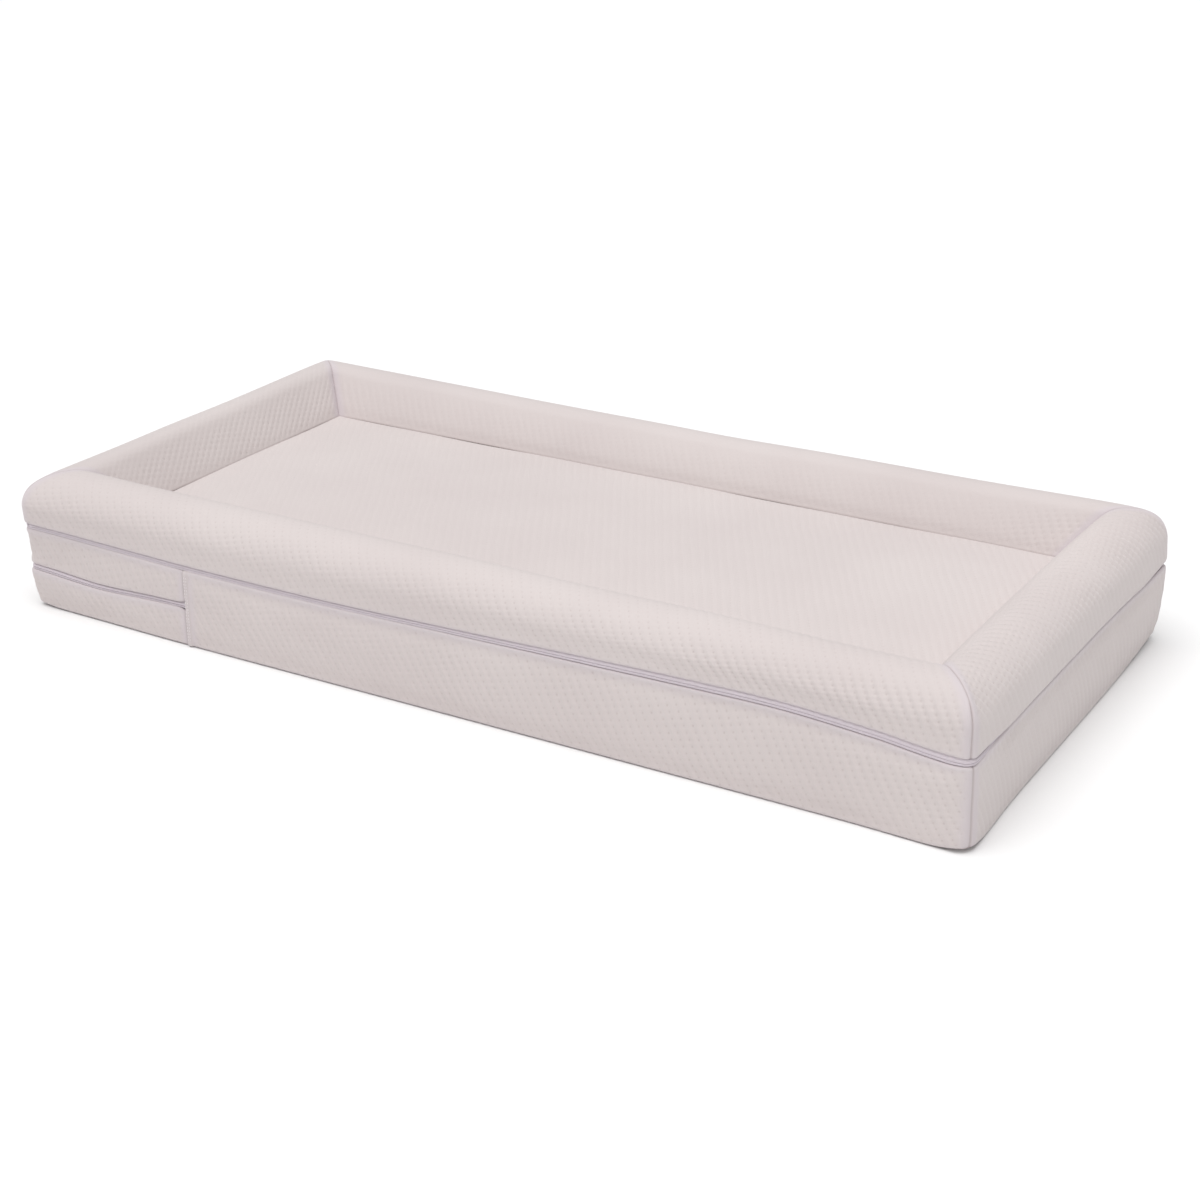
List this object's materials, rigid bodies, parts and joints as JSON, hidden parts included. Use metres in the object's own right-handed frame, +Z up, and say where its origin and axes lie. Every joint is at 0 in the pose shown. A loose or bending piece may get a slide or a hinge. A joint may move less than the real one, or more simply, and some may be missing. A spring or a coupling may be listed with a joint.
{
  "type": "changing pad",
  "caption": "Rectangular padded changing pad with raised foam sides round a recessed floor, zipped on to a foam base cushion.",
  "frame": {"origin": "middle of the underside, on the surface that the pad lies on", "axes": "+X along the length from the end with the lower zip to the other end, +Y from the front to the back, +Z up"},
  "size_m": [0.81, 0.4, 0.114],
  "materials": {
    "quilted_cover": "off-white quilted knit",
    "inner_fabric": "plain white woven lining",
    "seam_strip": "folded cover fabric, topstitched",
    "foam": "open-cell polyurethane foam",
    "zip_tape": "lilac-white woven polyester tape",
    "zip_coil": "white nylon coil",
    "zip_metal": "white enamelled zinc"
  },
  "bodies": {
    "base": {"base_bottom_panel": "quilted_cover", "base_top_panel": "inner_fabric", "base_band_front": "quilted_cover", "base_band_back": "quilted_cover", "base_band_right": "quilted_cover", "base_band_left_upper": "quilted_cover", "base_band_left_lower": "quilted_cover", "seam_strip_front": "seam_strip", "seam_strip_back": "seam_strip", "base_foam": "foam", "main_zip_lower_tape": "zip_tape", "main_zip_lower_coil": "zip_coil", "end_zip_upper_tape": "zip_tape", "end_zip_lower_tape": "zip_tape", "end_zip_upper_coil": "zip_coil", "end_zip_lower_coil": "zip_coil"},
    "tray": {"tray_lining": "inner_fabric", "tray_foam": "foam", "tray_floor_panel": "quilted_cover", "rim_panel_front": "quilted_cover", "rim_panel_back": "quilted_cover", "rim_panel_left": "quilted_cover", "rim_panel_right": "quilted_cover", "rim_foam_front": "foam", "rim_foam_back": "foam", "rim_foam_left": "foam", "rim_foam_right": "foam", "main_zip_upper_tape": "zip_tape", "main_zip_upper_coil": "zip_coil"},
    "main_slider": {"main_zip_slider": "zip_metal"},
    "main_pull": {"main_zip_pull": "zip_metal"},
    "end_slider": {"end_zip_slider": "zip_metal"},
    "end_pull": {"end_zip_pull": "zip_metal"}
  },
  "joints": [
    {"name": "tray_lift", "type": "slide", "parent": "base", "child": "tray", "axis": [0, 0, 1], "range_m": [0, 0.15]},
    {"name": "main_slider_slide", "type": "slide", "parent": "base", "child": "main_slider", "axis": [1, 0, 0], "range_m": [0, 0.755]},
    {"name": "main_pull_flip", "type": "hinge", "parent": "main_slider", "child": "main_pull", "pos_m": [-0.38, 0.1985, 0.065], "axis": [0, 0, 1], "range_deg": [0, 170]},
    {"name": "end_slider_slide", "type": "slide", "parent": "base", "child": "end_slider", "axis": [-1, 0, 0], "range_m": [0, 0.125]},
    {"name": "end_pull_flip", "type": "hinge", "parent": "end_slider", "child": "end_pull", "pos_m": [-0.252, 0.1985, 0.033], "axis": [0, 0, -1], "range_deg": [0, 150]}
  ]
}
